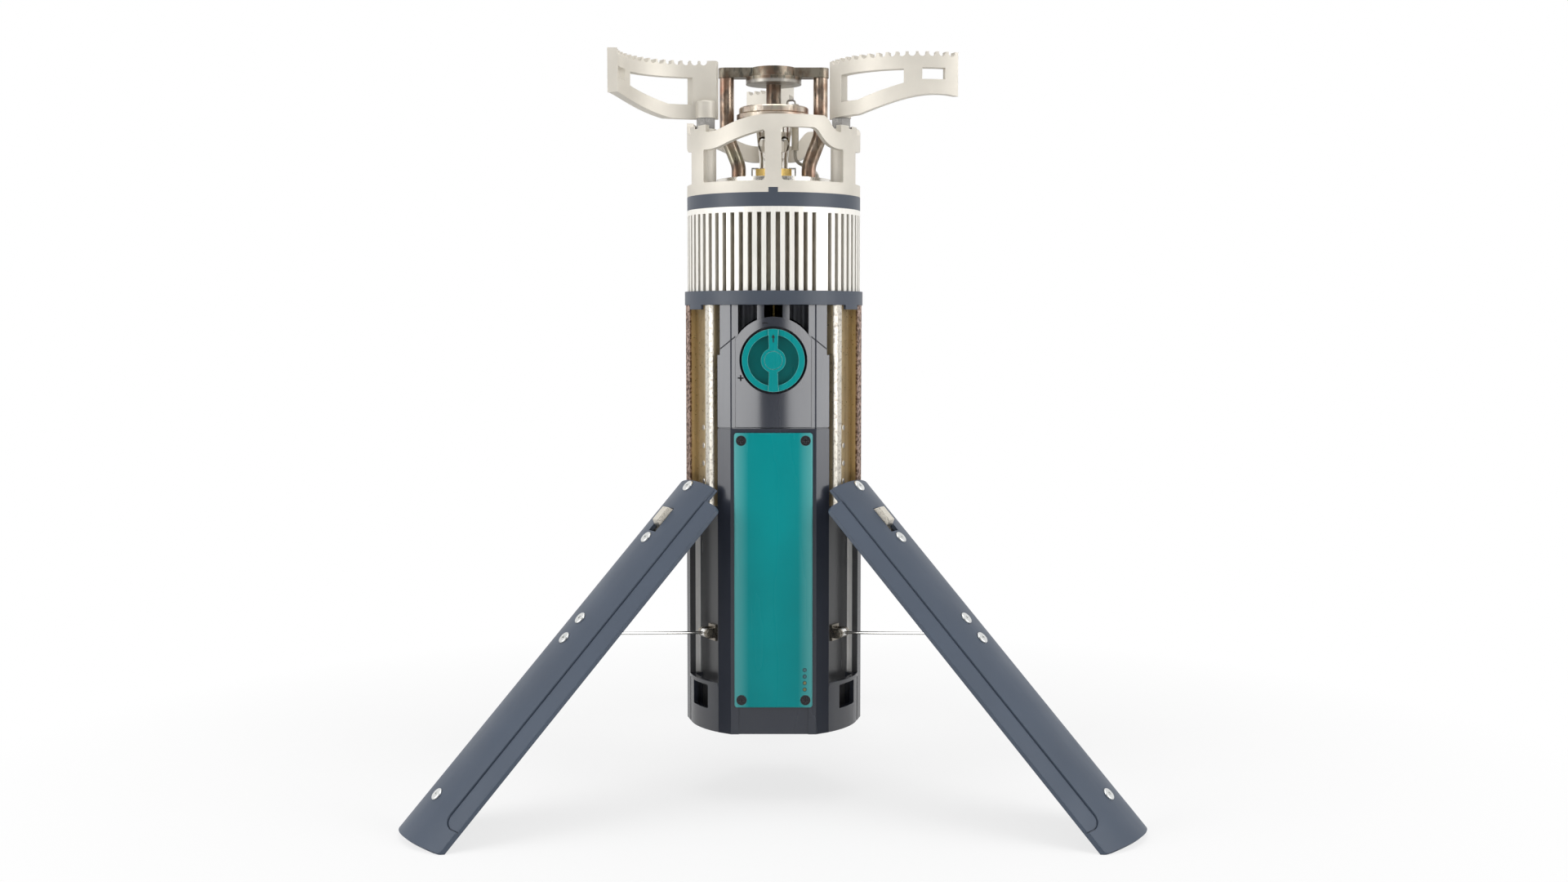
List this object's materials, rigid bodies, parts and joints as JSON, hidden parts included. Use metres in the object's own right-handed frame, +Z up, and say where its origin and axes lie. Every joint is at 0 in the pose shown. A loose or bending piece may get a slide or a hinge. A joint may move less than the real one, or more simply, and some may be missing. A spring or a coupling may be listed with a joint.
{
  "type": "portable gas stove",
  "caption": "Tall cartridge gas stove on folding tripod legs, with swinging toothed pot arms, a finned thermoelectric heat sink, a gas knob and a bay for a gas cartridge in its body.",
  "frame": {"origin": "on the ground, on the body's centre line, with the legs out", "axes": "+Z up along the body's centre line, -Y towards the knob and front panel, +X to the right of a viewer facing them"},
  "size_m": [0.3914, 0.3475, 0.408],
  "materials": {
    "housing_plastic": "semi-gloss",
    "collar_plastic": "satin",
    "leg_plastic": "satin",
    "teal_plastic": "satin",
    "knob_plastic": "satin",
    "black_steel": "black oxide",
    "light_pipe": "clear",
    "battery_wrap": "film",
    "circuit_board": "solder mask",
    "plated_steel": "nickel plated",
    "fin_aluminium": "machined",
    "block_aluminium": "machined",
    "module_ceramic": "ceramic",
    "cast_steel": "blasted",
    "deck_steel": "bright",
    "heat_pipe_copper": "heat tinted",
    "burner_steel": "heat tinted",
    "tube_steel": "polished",
    "brass": "turned",
    "spindle_steel": "turned",
    "ceramic": "glazed",
    "spark_wire": "drawn",
    "lead_sleeve": "woven sleeve",
    "piezo_plastic": "moulded",
    "seal_rubber": "matt",
    "rail_steel": "gold passivated",
    "zinc_steel": "zinc plated",
    "rivet_steel": "bright",
    "latch_nickel": "nickel plated",
    "carriage_plastic": "moulded"
  },
  "bodies": {
    "stove_body": {"lower_housing": "housing_plastic", "upper_housing": "housing_plastic", "base_cups": "housing_plastic", "lower_collar": "collar_plastic", "upper_collar": "collar_plastic", "front_panel": "teal_plastic", "panel_screws": "black_steel", "charge_leds": "light_pipe", "battery_pack": "battery_wrap", "control_board": "circuit_board", "usb_socket": "plated_steel", "jet_clip": "plated_steel", "strut_brackets": "plated_steel", "heat_sink": "fin_aluminium", "hot_block": "block_aluminium", "thermoelectric_modules": "module_ceramic", "burner_cage": "cast_steel", "burner_deck": "deck_steel", "heat_pipe_left": "heat_pipe_copper", "heat_pipe_right": "heat_pipe_copper", "heat_collector": "heat_pipe_copper", "burner_cap": "burner_steel", "burner_bowl": "burner_steel", "mixing_tube": "tube_steel", "jet_nut": "brass", "cartridge_connector": "brass", "valve_body": "brass", "gas_pipe": "brass", "igniter_insulator": "ceramic", "igniter_electrode": "spark_wire", "igniter_lead": "lead_sleeve", "piezo_unit": "piezo_plastic", "connector_seal": "seal_rubber", "leg_rails": "rail_steel", "arm_pivot_rods": "zinc_steel", "arm_washers": "zinc_steel"},
    "knob": {"control_knob": "knob_plastic", "knob_cap": "knob_plastic", "valve_spindle": "spindle_steel"},
    "arm_left": {"pot_arm_left": "cast_steel"},
    "strut_left": {"strut_left": "plated_steel"},
    "leg_left": {"leg_shell_left": "leg_plastic", "leg_spine_left": "zinc_steel", "leg_rivets_left": "rivet_steel"},
    "carriage_left": {"carriage_left": "carriage_plastic"},
    "latch_left": {"latch_button_left": "latch_nickel"},
    "arm_right": {"pot_arm_right": "cast_steel"},
    "strut_right": {"strut_right": "plated_steel"},
    "leg_right": {"leg_shell_right": "leg_plastic", "leg_spine_right": "zinc_steel", "leg_rivets_right": "rivet_steel"},
    "carriage_right": {"carriage_right": "carriage_plastic"},
    "latch_right": {"latch_button_right": "latch_nickel"},
    "arm_rear": {"pot_arm_rear": "cast_steel"},
    "strut_rear": {"strut_rear": "plated_steel"},
    "leg_rear": {"leg_shell_rear": "leg_plastic", "leg_spine_rear": "zinc_steel", "leg_rivets_rear": "rivet_steel"},
    "carriage_rear": {"carriage_rear": "carriage_plastic"},
    "latch_rear": {"latch_button_rear": "latch_nickel"}
  },
  "joints": [
    {"name": "knob_turn", "type": "hinge", "parent": "stove_body", "child": "knob", "pos_m": [0, 0, 0.2452], "axis": [0, -1, 0], "range_deg": [0, 120]},
    {"name": "arm_left_swing", "type": "hinge", "parent": "stove_body", "child": "arm_left", "pos_m": [-0.03707, -0.0214, 0.3768], "axis": [0, 0, 1], "range_deg": [0, 122]},
    {"name": "strut_left_swing", "type": "hinge", "parent": "stove_body", "child": "strut_left", "pos_m": [-0.03767, -0.02175, 0.0928], "axis": [-0.5, 0.866, 0], "range_deg": [0, 83.31]},
    {"name": "leg_left_fold", "type": "hinge", "parent": "strut_left", "child": "leg_left", "pos_m": [-0.1013, -0.05849, 0.09894], "axis": [-0.5, 0.866, 0], "range_deg": [-126.92, 0]},
    {"name": "carriage_left_turn", "type": "hinge", "parent": "leg_left", "child": "carriage_left", "pos_m": [-0.04084, -0.02358, 0.174], "axis": [-0.5, 0.866, 0], "range_deg": [0, 43.61]},
    {"name": "latch_left_slide", "type": "slide", "parent": "leg_left", "child": "latch_left", "axis": [-0.5972, -0.3448, -0.7242], "range_m": [0, 0.004], "stiffness_N_per_m": 300},
    {"name": "arm_right_swing", "type": "hinge", "parent": "stove_body", "child": "arm_right", "pos_m": [0.03707, -0.0214, 0.3768], "axis": [0, 0, 1], "range_deg": [0, 132]},
    {"name": "strut_right_swing", "type": "hinge", "parent": "stove_body", "child": "strut_right", "pos_m": [0.03767, -0.02175, 0.0928], "axis": [-0.5, -0.866, 0], "range_deg": [0, 83.31]},
    {"name": "leg_right_fold", "type": "hinge", "parent": "strut_right", "child": "leg_right", "pos_m": [0.1013, -0.05849, 0.09894], "axis": [-0.5, -0.866, 0], "range_deg": [-126.92, 0]},
    {"name": "carriage_right_turn", "type": "hinge", "parent": "leg_right", "child": "carriage_right", "pos_m": [0.04084, -0.02358, 0.174], "axis": [-0.5, -0.866, 0], "range_deg": [0, 43.61]},
    {"name": "latch_right_slide", "type": "slide", "parent": "leg_right", "child": "latch_right", "axis": [0.5972, -0.3448, -0.7242], "range_m": [0, 0.004], "stiffness_N_per_m": 300},
    {"name": "arm_rear_swing", "type": "hinge", "parent": "stove_body", "child": "arm_rear", "pos_m": [0, 0.0428, 0.3768], "axis": [0, 0, 1], "range_deg": [0, 123]},
    {"name": "strut_rear_swing", "type": "hinge", "parent": "stove_body", "child": "strut_rear", "pos_m": [0, 0.0435, 0.0928], "axis": [1, 0, 0], "range_deg": [0, 83.31]},
    {"name": "leg_rear_fold", "type": "hinge", "parent": "strut_rear", "child": "leg_rear", "pos_m": [0, 0.11697, 0.09894], "axis": [1, 0, 0], "range_deg": [-126.92, 0]},
    {"name": "carriage_rear_turn", "type": "hinge", "parent": "leg_rear", "child": "carriage_rear", "pos_m": [0, 0.04716, 0.174], "axis": [1, 0, 0], "range_deg": [0, 43.61]},
    {"name": "latch_rear_slide", "type": "slide", "parent": "leg_rear", "child": "latch_rear", "axis": [0, 0.6896, -0.7242], "range_m": [0, 0.004], "stiffness_N_per_m": 300}
  ],
  "couplings": [
    {"joint": "leg_left_fold", "follows": "strut_left_swing", "ratio": -1.5233},
    {"joint": "carriage_left_turn", "follows": "strut_left_swing", "ratio": 0.52334},
    {"joint": "leg_right_fold", "follows": "strut_right_swing", "ratio": -1.5233},
    {"joint": "carriage_right_turn", "follows": "strut_right_swing", "ratio": 0.52334},
    {"joint": "leg_rear_fold", "follows": "strut_rear_swing", "ratio": -1.5233},
    {"joint": "carriage_rear_turn", "follows": "strut_rear_swing", "ratio": 0.52334}
  ]
}
